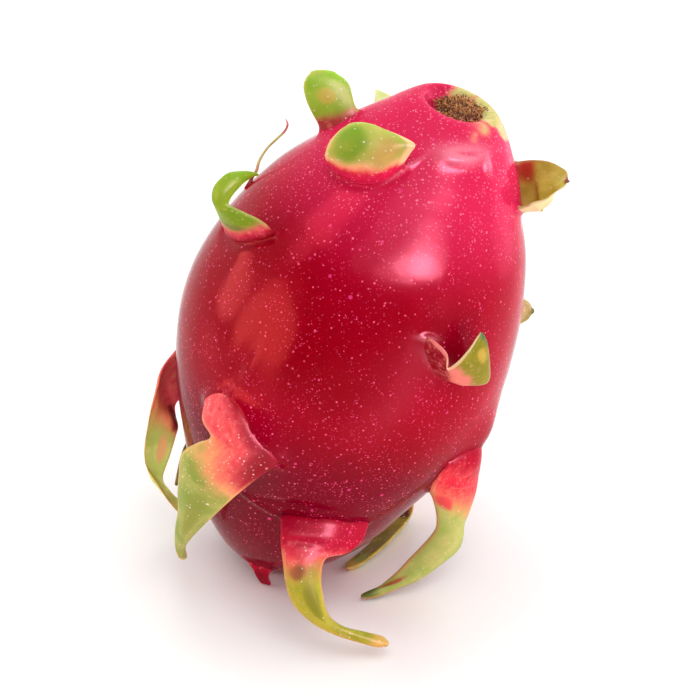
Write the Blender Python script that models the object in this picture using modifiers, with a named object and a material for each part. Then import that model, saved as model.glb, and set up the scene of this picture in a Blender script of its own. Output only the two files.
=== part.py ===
# A whole dragon fruit (pitaya) standing on its round end and leaning to one side.
# The rind is one closed body. Each leafy scale that grows out of it, and the dry
# plug in the scar at its top end, is a separate solid with a hair's gap to the rind.
# Frame: origin at the middle of the small flat spot it rests on, +Z up, -Y the front.

import math

import bmesh
import bpy
from mathutils import Matrix, Vector

MM = 0.001

# --- the fruit, in millimetres and degrees -----------------------------------------
LEAN = 17.0                        # its long axis tips towards +X
CENTRE = (12.5, 0.0, 59.9)         # the middle of the fruit, above the resting spot
BEND = (9.0, 1.5)                  # how far the top end drifts to the right and back
HALF_LENGTH = 76.0                 # middle to top, along the axis
SCAR_SHIFT = (-0.2, 3.2)           # the scar sits off the middle of the top
SKIN_GAP = 0.3                     # between the rind and what grows out of it
SIDES = 48
STEPS_PER_SPAN = 2

# The turned outline: (radius, height), down from the scar's floor to the bottom.
OUTLINE = [
    (0.0, 64.0), (4.0, 64.3), (6.2, 66.2), (8.2, 67.8), (11.4, 66.6), (16.2, 61.5),
    (24.2, 49.5), (32.4, 36.0), (38.0, 18.5), (39.5, 2.0), (36.4, -15.0),
    (30.3, -31.0), (23.8, -45.5), (15.4, -57.0), (8.5, -62.4), (0.0, -64.2),
]

# Swellings where scales grow out: (around, height, rise, spread). Around is in degrees,
# 0 at the front and 90 on the right; height is along the fruit's own axis.
SWELLINGS = [
    (12.0, -29.0, 1.6, 8.0),       # under the front leg
    (-33.0, -9.0, 1.4, 9.0),       # under the broad front scale
    (66.0, -5.0, 2.4, 8.0),        # shoulder of the right leg
    (22.0, 29.0, 1.4, 5.0),        # ridge of the folded scale
    (80.0, 54.0, 1.2, 6.0),        # root of the cupped scale
    (-100.0, 56.0, 1.4, 6.0),      # root of the paddle
    (-66.0, 31.0, 1.0, 6.0),       # root of the curl
    (10.0, 64.0, 0.8, 5.0),        # a scale that never opened
]

# --- the scales --------------------------------------------------------------------
# Each station is a pair of points, one on each edge of the blade, root first and tip
# last. Out is the side that bulges, by cup, given at the root and at the tip.
SCALES = {
    "scale_front_broad": dict(
        stations=[((-15, -21, 62), (-4, -28, 65)), ((-20.5, -22.5, 57), (-1.5, -35, 58)),
                  ((-17.5, -28, 52.5), (-5, -37, 47.5)), ((-20.5, -30, 53), (-8, -38, 47)),
                  ((-24, -29, 49.5), (-12.5, -36, 41.5)), ((-25.5, -27, 38.5), (-17.5, -30.5, 31.5)),
                  ((-26.5, -22, 26.5), (-22, -23, 21)), ((-27.5, -16, 13.5), (-25, -16, 12.5)),
                  ((-27.5, -11, 6), (-26, -11, 5.5))],
        out=(-0.5, -0.8, 0.2), cup=(4.0, 0.4), thick=(5.0, 1.6)),
    "scale_front_leg": dict(
        stations=[((0, -28, 33), (17, -26, 31)), ((-1.5, -32, 30), (19.5, -28.5, 27)),
                  ((-1.5, -34.5, 26.5), (15.5, -32, 24)), ((-1, -38, 24), (8.5, -35, 21.5)),
                  ((0, -41, 20.5), (8.5, -38.5, 18.5)), ((1, -42.5, 16), (9, -41, 14.5)),
                  ((4, -43, 12), (10.5, -42, 11)), ((7.8, -43.6, 9), (12.2, -41, 8.6)),
                  ((12, -43.8, 7), (14, -40.6, 7)), ((17, -43.8, 5.2), (17.6, -41, 5.6)),
                  ((22, -43.6, 4.2), (22.3, -41.6, 4.6)), ((23.6, -43, 4), (23.6, -42.2, 4.2))],
        out=(0.1, -0.9, 0.3), cup=(2.5, 0.3), thick=(4.0, 1.8)),
    "scale_right_leg": dict(
        stations=[((33, -23, 43), (40, -5, 45)), ((36.5, -21, 38.5), (45, -9.5, 39)),
                  ((35, -19.5, 34.5), (46.5, -11, 35)), ((35, -18.5, 29.5), (46, -12, 30)),
                  ((35.5, -17.5, 24.5), (45, -12.5, 25)), ((36, -17, 20), (43.5, -13.5, 19.5)),
                  ((33, -17.5, 14.5), (42.5, -14.5, 14.5)), ((29.5, -18.5, 10.5), (39, -16, 9)),
                  ((26, -19.5, 7), (34, -18, 5.5)), ((22, -20.5, 3.5), (27, -19.5, 2.5)),
                  ((18, -21, 1.2), (19, -20, 1.0))],
        out=(0.7, -0.6, 0.2), cup=(2.0, 0.5), thick=(4.0, 2.0)),
    "scale_right_folded": dict(
        stations=[((32, -31, 82), (43, -27, 68)), ((35.5, -35.5, 81.5), (46, -31.5, 70.5)),
                  ((36, -38, 77.5), (46.8, -33, 73.5)), ((38.5, -38, 80), (46.6, -33, 77)),
                  ((41, -36, 82.5), (46.2, -32.5, 80.5)), ((43.2, -33.5, 84.8), (44.6, -33, 84.4))],
        out=(0.4, -0.9, -0.2), cup=(2.0, 0.4), thick=(2.4, 1.2)),
    "scale_right_cup": dict(
        stations=[((48, 2, 110), (49, -9, 104)), ((53, 2, 109.5), (54, -10, 105.5)),
                  ((58, 3, 109), (58, -9, 106.5)), ((62, 3, 108.5), (61.5, -6, 106)),
                  ((64.3, 2, 107.5), (64, -3, 105.3)), ((65, 0.5, 106.5), (65, -1, 105.6))],
        out=(0.0, -0.4, -0.9), cup=(6.0, 0.8), thick=(2.2, 1.2)),
    "scale_right_small": dict(
        stations=[((52, 7, 70), (52, 3, 63)), ((55.5, 6, 70), (55.5, 3, 64.5)),
                  ((57.6, 5.5, 69), (57.3, 3.5, 65.3)), ((58.4, 5, 67.7), (58.2, 4, 66.5))],
        out=(0.9, -0.3, -0.3), cup=(0.8, 0.2), thick=(2.0, 1.2)),
    "scale_top_torn": dict(
        stations=[((11, -9, 112), (28.5, -13.5, 116.5)), ((9, -12, 117.5), (29.5, -18.5, 121)),
                  ((10, -12.5, 121), (29.5, -19.5, 124.5)), ((12, -11, 123.5), (28.5, -17, 125.3)),
                  ((14.5, -9.5, 125), (23, -12, 125.2))],
        out=(-0.3, -0.8, 0.4), cup=(4.5, 1.5), thick=(3.0, 1.6)),
    "scale_top_paddle": dict(
        stations=[((8.5, 4.5, 112), (16.5, 5.5, 114)), ((7.5, 5, 117), (17, 5, 119.5)),
                  ((6, 5.5, 119.5), (16.2, 5.5, 121.5)), ((4.3, 6.5, 124), (15.7, 6.5, 123)),
                  ((4.5, 7.5, 127.5), (14.5, 7.5, 126.5)), ((6.2, 8.5, 129), (12.5, 8.5, 128.8)),
                  ((8.3, 9, 129.8), (10.5, 9, 129.6))],
        out=(-0.3, -0.9, 0.3), cup=(1.0, 0.6), thick=(3.0, 1.6)),
    "scale_left_curl": dict(
        stations=[((-10, -7, 92), (-1, -15.5, 98)), ((-14.5, -10, 98), (-3, -18.5, 102)),
                  ((-15, -14, 103.5), (-7, -19.5, 106.5)), ((-15.5, -16, 108), (-11.5, -18, 108)),
                  ((-16, -15.5, 111), (-11.5, -16.5, 110)), ((-14.5, -13.5, 113.5), (-10, -15, 111.5)),
                  ((-11.5, -12, 114), (-8.5, -13, 112.5)), ((-8, -10.5, 113.5), (-7, -11, 112.3)),
                  ((-5.7, -9, 112), (-5.3, -9, 111.3))],
        out=(-0.7, -0.6, 0.0), cup=(2.0, 0.3), thick=(2.4, 1.2)),
    "scale_left_whisker": dict(
        stations=[((-5, 11, 100), (-3, 6, 100.5)), ((-7.2, 9.5, 103), (-6, 6.5, 103)),
                  ((-6, 10, 106), (-5, 8, 106)), ((-4.5, 10.5, 108.5), (-3.8, 9, 108.5)),
                  ((-2.3, 11.5, 111), (-1.8, 10.3, 111)), ((0, 12.2, 113), (0.3, 11.3, 113)),
                  ((0.3, 12.6, 114.2), (0.6, 12, 114.1))],
        out=(-0.9, 0.1, 0.2), cup=(0.4, 0.1), thick=(1.6, 0.9)),
    "scale_left_twisted": dict(
        stations=[((-23, 3, 57), (-22, 6, 49)), ((-28, 2.5, 56), (-27.5, 5, 46.5)),
                  ((-30.5, 1.5, 52), (-29, 5.5, 41.5)), ((-31.7, 0.5, 47.5), (-30.5, 4, 41)),
                  ((-32.6, 0, 43.5), (-29.5, 3, 39)), ((-34.2, 0, 39), (-28, 3, 35.5)),
                  ((-35.2, 0, 33), (-28, 3, 31.5)), ((-35.5, 0.5, 25.5), (-30, 3, 24.5)),
                  ((-33, 1, 20), (-31.5, 3.5, 19)), ((-29.8, 1.5, 12.8), (-28.8, 4.5, 13.8)),
                  ((-26, 2.5, 7), (-25, 5, 8)), ((-23.6, 3.5, 3.8), (-23, 4.5, 4.1))],
        out=(-0.9, -0.3, 0.2), cup=(1.5, 0.3), thick=(2.6, 1.2)),
    "scale_left_stick": dict(
        stations=[((-20, 7, 30), (-18, 13, 28)), ((-24.5, 9, 27), (-22, 13.5, 25)),
                  ((-27, 10, 20.5), (-25, 13.5, 19.5)), ((-28, 10.5, 16), (-26.5, 13, 15)),
                  ((-29, 11, 12), (-28, 12, 11.5))],
        out=(-0.9, 0.2, -0.2), cup=(0.8, 0.2), thick=(2.4, 1.4)),
    "scale_back_right_floor": dict(
        stations=[((25, 10, 28), (31, 5, 30)), ((28, 15, 25), (34, 9, 26)),
                  ((26, 17.5, 18), (31, 12.5, 18)), ((26, 17.5, 9), (30.5, 13.5, 8)),
                  ((27, 13.5, 2.6), (31.5, 10.5, 2.0)), ((23, 6, 0.8), (27.2, 2.6, 0.6)),
                  ((18.2, -2.5, 0.7), (21.5, -5.2, 0.6)), ((14.4, -8.4, 0.7), (16, -9.6, 0.7))],
        out=(0.8, 0.3, -0.3), cup=(1.5, 0.3), thick=(3.4, 2.2)),
    "scale_bottom_nub": dict(
        stations=[((-10, -12, 12), (-4, -14, 12)), ((-10.5, -15.5, 8), (-4, -17, 7.5)),
                  ((-9, -15.5, 4), (-5, -16, 3.5)), ((-8.4, -14.8, 0.4), (-5.4, -14.8, 0.2))],
        out=(-0.3, -0.9, -0.2), cup=(0.6, 0.2), thick=(3.2, 2.0)),
    "scale_top_back": dict(
        stations=[((12, 20, 98), (26, 23, 100)), ((12.5, 26, 102), (27, 28.5, 104)),
                  ((14.5, 27, 107), (26.5, 28.5, 108.5)), ((17.5, 25.5, 112), (25.5, 26.5, 113)),
                  ((20, 22.5, 115.2), (24, 23, 115.4)), ((21.4, 19.5, 117.6), (22.8, 19.5, 117.5))],
        out=(-0.1, 0.9, 0.4), cup=(2.0, 0.4), thick=(3.0, 1.2)),
}

# Scales round the back, where each follows one rule. A path step is (around, height,
# out), out being the distance off the skin, and widths go with the steps.
BACK_SCALES = {
    "scale_back_upper_right": dict(
        path=[(148, 38, -3), (148, 42, 2.5), (149, 46, 6), (152, 50, 8), (156, 54, 8.5)],
        widths=(15, 14, 11, 7, 2.5), cup=(2.5, 0.5), thick=(3.0, 1.4)),
    "scale_back_left": dict(
        path=[(-146, 0, -3), (-146, 5, 2.5), (-145, 10, 6), (-143, 15, 8), (-140, 19, 8.5)],
        widths=(15, 13, 10, 6, 2.2), cup=(2.5, 0.4), thick=(3.0, 1.3)),
    "scale_back_middle": dict(
        path=[(176, 10, -3), (176, 5, 3), (175, -1, 7), (173, -8, 9), (170, -16, 9.5), (168, -22, 8)],
        widths=(17, 15, 13, 11, 7, 2.5), cup=(3.0, 0.5), thick=(3.6, 1.6)),
    "scale_back_lower_left": dict(
        path=[(-142, -16, -3), (-142, -20, 3), (-142, -27, 7), (-144, -35, 9), (-147, -43, 9),
              (-150, -49, 8)],
        widths=(15, 13, 10, 9, 6, 2.5), cup=(2.5, 0.4), thick=(3.6, 1.6)),
    "scale_back_leg": dict(
        path=[(140, -22, -3), (140, -26, 3), (140, -33, 8), (141, -41, 12.5), (143, -48, 15.5),
              (146, -54, 17.5)],
        widths=(17, 14, 11, 9.5, 7, 3), cup=(2.5, 0.4), thick=(4.0, 2.0)),
}

BLADE_RINGS = 3                    # rings of points for each span between stations
BLADE_SIDES = 10

# --- colours: base colour and roughness ---------------------------------------------
RIND_RED = ((0.62, 0.01, 0.06), 0.30)
SCALE_GREEN = ((0.34, 0.42, 0.10), 0.42)
SCALE_RED = ((0.45, 0.01, 0.04), 0.35)
DRY_BROWN = ((0.22, 0.12, 0.04), 0.90)


def start_clean():
    for old in list(bpy.data.objects):
        bpy.data.objects.remove(old, do_unlink=True)


def new_collection(name):
    collection = bpy.data.collections.new(name)
    bpy.context.scene.collection.children.link(collection)
    return collection


def add_object(name, mesh, collection, finish=None):
    item = bpy.data.objects.new(name, mesh)
    collection.objects.link(item)
    if finish:
        colour, roughness = finish
        material = bpy.data.materials.new(name)
        material.use_nodes = True
        shader = material.node_tree.nodes["Principled BSDF"]
        shader.inputs["Base Color"].default_value = (*colour, 1.0)
        shader.inputs["Roughness"].default_value = roughness
        shader.inputs["Metallic"].default_value = 0.0
        mesh.materials.append(material)
        mesh.shade_smooth()
    return item


def applied_mesh(item):
    depsgraph = bpy.context.evaluated_depsgraph_get()
    return bpy.data.meshes.new_from_object(item.evaluated_get(depsgraph))


def rounded(points, steps):
    """A smooth curve through points, with the given number of steps for each span."""
    points = [Vector(p) for p in points]
    ends = [points[0] * 2 - points[1]] + points + [points[-1] * 2 - points[-2]]
    curve = []
    for a, b, c, d in zip(ends, ends[1:], ends[2:], ends[3:]):
        for k in range(steps):
            t = k / steps
            curve.append(0.5 * (2 * b + (c - a) * t + (2 * a - 5 * b + 4 * c - d) * t ** 2
                                + (3 * b - a - 3 * c + d) * t ** 3))
    return curve + [points[-1]]


def ease(value, low, high):
    t = min(max((value - low) / (high - low), 0.0), 1.0)
    return t * t * (3 - 2 * t)


def place(local):
    """From the fruit's own upright axes to where it stands, leaning."""
    return Matrix.Rotation(math.radians(LEAN), 3, "Y") @ local + Vector(CENTRE)


def swelling(around, height, radius):
    rise = 0.0
    for spot_around, spot_height, spot_rise, spread in SWELLINGS:
        turn = (around - spot_around + 180.0) % 360.0 - 180.0
        along = math.radians(turn) * radius
        away = (along ** 2 + (height - spot_height) ** 2) / spread ** 2
        rise += spot_rise * math.exp(-away)
    return rise


def skin_point(around, height, radius):
    """A point of the rind from its place on the turned outline."""
    angle = math.radians(around)
    radius += swelling(around, height, radius) * ease(radius, 6.0, 12.0)
    drift = max(height, 0.0) ** 2 / HALF_LENGTH ** 2
    scar = 1.0 - ease(radius, 7.0, 17.0) if height > 0.0 else 0.0
    local = Vector((radius * math.sin(angle) + BEND[0] * drift + SCAR_SHIFT[0] * scar,
                    -radius * math.cos(angle) + BEND[1] * drift + SCAR_SHIFT[1] * scar, height))
    return place(local)


def outline_radius(height):
    """The outline's radius at a height below the scar's rim."""
    curve = rounded([(r, z, 0.0) for r, z in OUTLINE[4:]], 8)
    for above, below in zip(curve, curve[1:]):
        if below.y <= height <= above.y:
            share = (height - below.y) / (above.y - below.y)
            return below.x + share * (above.x - below.x)
    return 0.0


def rind_mesh(grow):
    """The turned outline, swollen, bent and leaning, and grown outwards by a margin."""
    curve = [Vector((max(p.x, 0.0), 0.0, p.y))
             for p in rounded([(r, z, 0.0) for r, z in OUTLINE], STEPS_PER_SPAN)]
    profile = bpy.data.meshes.new("outline")
    profile.from_pydata(curve, [(i, i + 1) for i in range(len(curve) - 1)], [])
    turned = bpy.data.objects.new("outline", profile)
    bpy.context.scene.collection.objects.link(turned)
    screw = turned.modifiers.new("turn", "SCREW")
    screw.angle = math.tau
    screw.steps = screw.render_steps = SIDES
    screw.use_merge_vertices = True
    screw.merge_threshold = 0.0001
    mesh = applied_mesh(turned)
    bpy.data.objects.remove(turned, do_unlink=True)

    for vertex in mesh.vertices:
        x, y, z = vertex.co
        vertex.co = skin_point(math.degrees(math.atan2(x, -y)), z, math.hypot(x, y))
    shape = bmesh.new()
    shape.from_mesh(mesh)
    bmesh.ops.recalc_face_normals(shape, faces=shape.faces)
    shape.normal_update()
    if grow:
        for vertex in shape.verts:
            vertex.co += vertex.normal * grow
    shape.to_mesh(mesh)
    shape.free()
    return mesh


def scale_to_metres(mesh):
    mesh.transform(Matrix.Scale(MM, 4))
    return mesh


def make_body(collection):
    mesh = rind_mesh(0.0)
    shape = bmesh.new()
    shape.from_mesh(mesh)
    cut = bmesh.ops.bisect_plane(shape, geom=shape.verts[:] + shape.edges[:] + shape.faces[:],
                                 plane_co=(0, 0, 0), plane_no=(0, 0, 1), clear_inner=True)
    rim = [e for e in cut["geom_cut"] if isinstance(e, bmesh.types.BMEdge)]
    bmesh.ops.contextual_create(shape, geom=rim)
    bmesh.ops.recalc_face_normals(shape, faces=shape.faces)
    shape.to_mesh(mesh)
    shape.free()
    return add_object("fruit_body", scale_to_metres(mesh), collection, RIND_RED)


def blade_mesh(stations, out, cup, thick):
    """A closed blade lofted through stations, thickest and most cupped at its root."""
    left = rounded([a for a, b in stations], BLADE_RINGS)
    right = rounded([b for a, b in stations], BLADE_RINGS)
    middle = [(a + b) / 2 for a, b in zip(left, right)]
    last = len(middle) - 1
    side = Vector(out).normalized()
    rings = []
    for i in range(last + 1):
        along = middle[min(i + 1, last)] - middle[max(i - 1, 0)]
        across = right[i] - left[i]
        normal = along.cross(across).normalized()
        if normal.dot(side) < 0:
            normal = -normal
        side = normal
        share = i / last
        bulge = cup[0] + (cup[1] - cup[0]) * share
        half = 0.5 * (thick[0] + (thick[1] - thick[0]) * share ** 0.6)
        ring = []
        for k in range(BLADE_SIDES):
            turn = math.tau * k / BLADE_SIDES
            reach = math.cos(turn)
            point = middle[i] + across * (0.5 * reach)
            point += normal * (bulge * (1 - reach ** 2) + half * math.sin(turn))
            point.z = max(point.z, 0.0)
            ring.append(point)
        rings.append(ring)

    shape = bmesh.new()
    grid = [[shape.verts.new(p) for p in ring] for ring in rings]
    for lower, upper in zip(grid, grid[1:]):
        for k in range(BLADE_SIDES):
            j = (k + 1) % BLADE_SIDES
            shape.faces.new((lower[k], lower[j], upper[j], upper[k]))
    shape.faces.new(grid[0])
    shape.faces.new(grid[-1])
    bmesh.ops.recalc_face_normals(shape, faces=shape.faces)
    bmesh.ops.triangulate(shape, faces=shape.faces)
    mesh = bpy.data.meshes.new("blade")
    shape.to_mesh(mesh)
    shape.free()
    return mesh


def back_stations(path, widths):
    """Edge points for a scale whose path is given off the skin."""
    spots = []
    for around, height, off in path:
        radius = outline_radius(height)
        on = skin_point(around, height, radius)
        beside = skin_point(around + 4.0, height, radius) - skin_point(around - 4.0, height, radius)
        above = skin_point(around, height + 2.0, outline_radius(height + 2.0)) - on
        spots.append((on + beside.cross(above).normalized() * off, beside.normalized()))
    return [(spot - side * (width / 2), spot + side * (width / 2))
            for (spot, side), width in zip(spots, widths)]


def trim_to_skin(item, cutter):
    """Cuts away the part of a scale that would lie inside the rind."""
    cut = item.modifiers.new("trim", "BOOLEAN")
    cut.operation = "DIFFERENCE"
    cut.solver = "EXACT"
    cut.object = cutter


def make_plug(collection, cutter):
    """The dry, matted fibres that fill the floor of the scar."""
    shape = bmesh.new()
    bmesh.ops.create_uvsphere(shape, u_segments=20, v_segments=10, radius=1.0)
    for vertex in shape.verts:
        x, y, z = vertex.co
        lump = 1.0 + 0.06 * math.sin(5.0 * x + 2.0) * math.cos(4.0 * y)
        local = Vector((x * 5.4 * lump + 7.2, y * 5.2 * lump + 4.6, z * 2.0 + 65.6))
        vertex.co = place(local)
    mesh = bpy.data.meshes.new("plug")
    shape.to_mesh(mesh)
    shape.free()
    plug = add_object("scar_plug", scale_to_metres(mesh), collection, DRY_BROWN)
    trim_to_skin(plug, cutter)


def main():
    start_clean()
    parts = new_collection("dragon_fruit")
    cutters = new_collection("cutters")

    cutter = add_object("rind_cutter", scale_to_metres(rind_mesh(SKIN_GAP)), cutters)
    cutter.hide_render = True
    cutter.display_type = "WIRE"

    make_body(parts)
    for name, spec in SCALES.items():
        mesh = blade_mesh(spec["stations"], spec["out"], spec["cup"], spec["thick"])
        finish = SCALE_RED if name == "scale_bottom_nub" else SCALE_GREEN
        trim_to_skin(add_object(name, scale_to_metres(mesh), parts, finish), cutter)
    for name, spec in BACK_SCALES.items():
        stations = back_stations(spec["path"], spec["widths"])
        out = stations[1][0] + stations[1][1] - 2 * Vector(CENTRE)
        mesh = blade_mesh(stations, out, spec["cup"], spec["thick"])
        trim_to_skin(add_object(name, scale_to_metres(mesh), parts, SCALE_GREEN), cutter)
    make_plug(parts, cutter)


main()
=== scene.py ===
import math

import bpy
import numpy as np
from mathutils import Matrix, Vector, noise
from mathutils.bvhtree import BVHTree

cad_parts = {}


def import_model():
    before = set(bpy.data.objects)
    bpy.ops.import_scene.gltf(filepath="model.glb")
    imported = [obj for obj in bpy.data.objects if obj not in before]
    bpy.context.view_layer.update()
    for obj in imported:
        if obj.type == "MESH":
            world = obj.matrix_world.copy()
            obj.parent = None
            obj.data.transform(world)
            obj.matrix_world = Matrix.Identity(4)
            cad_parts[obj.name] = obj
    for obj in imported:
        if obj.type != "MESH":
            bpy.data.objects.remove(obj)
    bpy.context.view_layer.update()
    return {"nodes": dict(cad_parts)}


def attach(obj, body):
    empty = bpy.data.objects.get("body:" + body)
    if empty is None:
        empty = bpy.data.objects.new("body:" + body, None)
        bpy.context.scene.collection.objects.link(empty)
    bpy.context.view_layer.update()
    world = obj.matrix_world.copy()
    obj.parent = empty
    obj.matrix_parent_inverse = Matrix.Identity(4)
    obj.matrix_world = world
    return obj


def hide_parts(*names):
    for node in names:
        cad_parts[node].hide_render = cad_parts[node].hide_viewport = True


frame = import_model()
mm = 0.001
farOff = 1e6
print("frame loaded:", len(frame["nodes"]), "nodes")


# small tools

def curveThrough(points, steps):
    # a smooth curve through the points, with the same number of steps in each span
    points = np.array(points, float)
    ends = np.vstack([2 * points[0] - points[1], points, 2 * points[-1] - points[-2]])
    curve = []
    for a, b, c, d in zip(ends, ends[1:], ends[2:], ends[3:]):
        for t in np.arange(steps) / steps:
            curve.append(0.5 * (2 * b + (c - a) * t + (2 * a - 5 * b + 4 * c - d) * t ** 2
                                + (3 * b - a - 3 * c + d) * t ** 3))
    return np.array(curve + [points[-1]])


def travelled(curve):
    return np.concatenate([[0.0], np.cumsum(np.linalg.norm(np.diff(curve, axis=0), axis=1))])


def sampled(curve, marks, wanted):
    return np.stack([np.interp(wanted, marks, column) for column in curve.T], 1)


def ease(value, low, high):
    share = np.clip((value - low) / (high - low), 0.0, 1.0)
    return share * share * (3 - 2 * share)


def unit(vectors):
    return vectors / np.maximum(np.linalg.norm(vectors, axis=-1, keepdims=True), 1e-9)


def ringFaces(rings, turns, flip=False):
    # faces of a closed tube of rings, whose two end points come last
    faces, last = [], rings * turns
    for start in range(0, last - turns, turns):
        for i in range(turns):
            a, b = start + i, start + (i + 1) % turns
            faces.append((a, b, b + turns, a + turns) if flip else (a, a + turns, b + turns, b))
    for i in range(turns):
        i, k = (i, (i + 1) % turns)[::-1 if flip else 1]
        faces += [(i, k, last), (last - turns + k, last - turns + i, last + 1)]
    return faces


def makeMesh(name, points, faces, smooth=True):
    mesh = bpy.data.meshes.new(name)
    mesh.from_pydata([tuple(p) for p in points], [], [tuple(f) for f in faces])
    mesh.update()
    if smooth:
        mesh.shade_smooth()
    return mesh


def readPoints(mesh):
    flat = np.empty(len(mesh.vertices) * 3)
    mesh.vertices.foreach_get("co", flat)
    return flat.reshape(-1, 3)


def writePoints(mesh, points):
    mesh.vertices.foreach_set("co", np.ascontiguousarray(points, dtype=np.float32).ravel())
    mesh.update()


def vertexNormals(mesh):
    flat = np.empty(len(mesh.vertices) * 3)
    mesh.vertex_normals.foreach_get("vector", flat)
    return flat.reshape(-1, 3)


def writeValues(mesh, name, values):
    # one number or one triple for each point, which a material reads
    kind, key = ("FLOAT", "value") if values.ndim == 1 else ("FLOAT_VECTOR", "vector")
    layer = mesh.attributes.new(name, kind, "POINT")
    layer.data.foreach_set(key, values.astype(np.float32).ravel())


def makePiece(name, mesh):
    piece = bpy.data.objects.new(name, mesh)
    bpy.context.scene.collection.objects.link(piece)
    return piece


def addTree(piece, tree, values):
    # puts a node tree on the piece, sets its inputs by name and turns the result into a mesh
    modifier = piece.modifiers.new(tree.name, "NODES")
    modifier.node_group = tree
    for item in tree.interface.items_tree:
        if item.item_type == "SOCKET" and item.in_out == "INPUT" and item.name in values:
            modifier[item.identifier] = values[item.name]
    depsgraph = bpy.context.evaluated_depsgraph_get()
    mesh = bpy.data.meshes.new_from_object(piece.evaluated_get(depsgraph))
    piece.modifiers.clear()
    piece.data = mesh


def handOver(piece, node):
    # from millimetres to metres, and on to the body
    piece.data.transform(Matrix.Scale(mm, 4))
    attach(piece, "root")
    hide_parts(node)


# node tools

def fill(tree, sockets, values):
    # links what comes from a node, and sets plain values
    for key, value in values.items():
        if isinstance(value, bpy.types.NodeSocket):
            tree.links.new(value, sockets[key])
        else:
            sockets[key].default_value = value


def addNode(tree, kind, values=None, **settings):
    item = tree.nodes.new(kind)
    for key, value in settings.items():
        setattr(item, key, value)
    fill(tree, item.inputs, values or {})
    return item


# these build in the tree that their sockets belong to

def calc(operation, a, b=0.0, c=0.0, clamp=False):
    tree = next(v.id_data for v in (a, b, c) if isinstance(v, bpy.types.NodeSocket))
    return addNode(tree, "ShaderNodeMath", {0: a, 1: b, 2: c}, operation=operation,
                   use_clamp=clamp).outputs[0]


def times(first, *others):
    for other in others:
        first = calc("MULTIPLY", first, other)
    return first


def plus(a, b):
    return calc("ADD", a, b)


def minus(a, b):
    return calc("SUBTRACT", a, b)


def scaled(value, factor, offset):
    return calc("MULTIPLY_ADD", value, factor, offset)


def vectorCalc(operation, a, b):
    item = addNode(a.id_data, "ShaderNodeVectorMath",
                   {0: a, "Scale" if operation == "SCALE" else 1: b}, operation=operation)
    return item.outputs["Value" if operation in ("DISTANCE", "DOT_PRODUCT") else "Vector"]


def spread(value, low, high, start=0.0, end=1.0):
    return addNode(value.id_data, "ShaderNodeMapRange",
                   {"Value": value, "From Min": low, "From Max": high, "To Min": start,
                    "To Max": end}, interpolation_type="SMOOTHSTEP").outputs["Result"]


def mixTone(amount, a, b):
    return addNode(amount.id_data, "ShaderNodeMix", {0: amount, 6: a, 7: b}, data_type="RGBA",
                   clamp_factor=True).outputs[2]


def noiseAt(place, scale, detail=2.0, rough=0.5, output="Fac"):
    return addNode(place.id_data, "ShaderNodeTexNoise",
                   {"Vector": place, "Scale": scale, "Detail": detail, "Roughness": rough}
                   ).outputs[output]


def nearSpot(place, spot, inner, outer):
    # 1 near a place on the fruit, given in millimetres, and 0 away from it
    away = vectorCalc("DISTANCE", place, tuple(c * mm for c in spot))
    return spread(away, inner * mm, outer * mm, 1.0, 0.0)


def ownPlace(tree):
    return addNode(tree, "ShaderNodeTexCoord").outputs["Object"]


def ownValue(tree, name, output="Fac"):
    return addNode(tree, "ShaderNodeAttribute", attribute_name=name).outputs[output]


def tone(red, green, blue):
    linear = [c / 255 / 12.92 if c <= 10 else ((c / 255 + 0.055) / 1.055) ** 2.4
              for c in (red, green, blue)]
    return (*linear, 1.0)


def newGroup(name, inputs, outputs, kind="ShaderNodeTree"):
    # an input's value tells what kind it is, and a word is a kind with no value
    words = {float: "Float", int: "Int", tuple: "Color"}
    tree = bpy.data.node_groups.new(name, kind)
    face = tree.interface
    for label, value in inputs.items():
        plain = isinstance(value, str)
        word = value if plain else words[type(value)]
        socket = face.new_socket(label, in_out="INPUT", socket_type="NodeSocket" + word)
        if not plain:
            socket.default_value = value
    for label, word in outputs.items():
        face.new_socket(label, in_out="OUTPUT", socket_type="NodeSocket" + word)
    start, end = tree.nodes.new("NodeGroupInput"), tree.nodes.new("NodeGroupOutput")
    return tree, start.outputs, end.inputs


def geometryGroup(name, sizes):
    return newGroup(name, {"Geometry": "Geometry", **sizes, "Finish": "Material"},
                    {"Geometry": "Geometry"}, "GeometryNodeTree")


def endTree(tree, geometry, start, end):
    real = addNode(tree, "GeometryNodeRealizeInstances", {"Geometry": geometry}).outputs[0]
    done = addNode(tree, "GeometryNodeSetMaterial", {"Geometry": real, "Material": start["Finish"]})
    fill(tree, end, {"Geometry": done.outputs[0]})
    return tree


def placeGroup(tree, group, values):
    return addNode(tree, "ShaderNodeGroup", values, node_tree=group).outputs


def newMaterial(name):
    material = bpy.data.materials.new(name)
    material.use_nodes = True
    return material, material.node_tree


def setShader(tree, values, bump=None, height=None):
    # bump is its strength and its depth in metres
    shader = tree.nodes["Principled BSDF"]
    if bump:
        values["Normal"] = addNode(tree, "ShaderNodeBump", {
            "Strength": bump[0], "Distance": bump[1], "Height": height}).outputs[0]
    fill(tree, shader.inputs, values)


# the fruit's own shape, in millimetres

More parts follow.
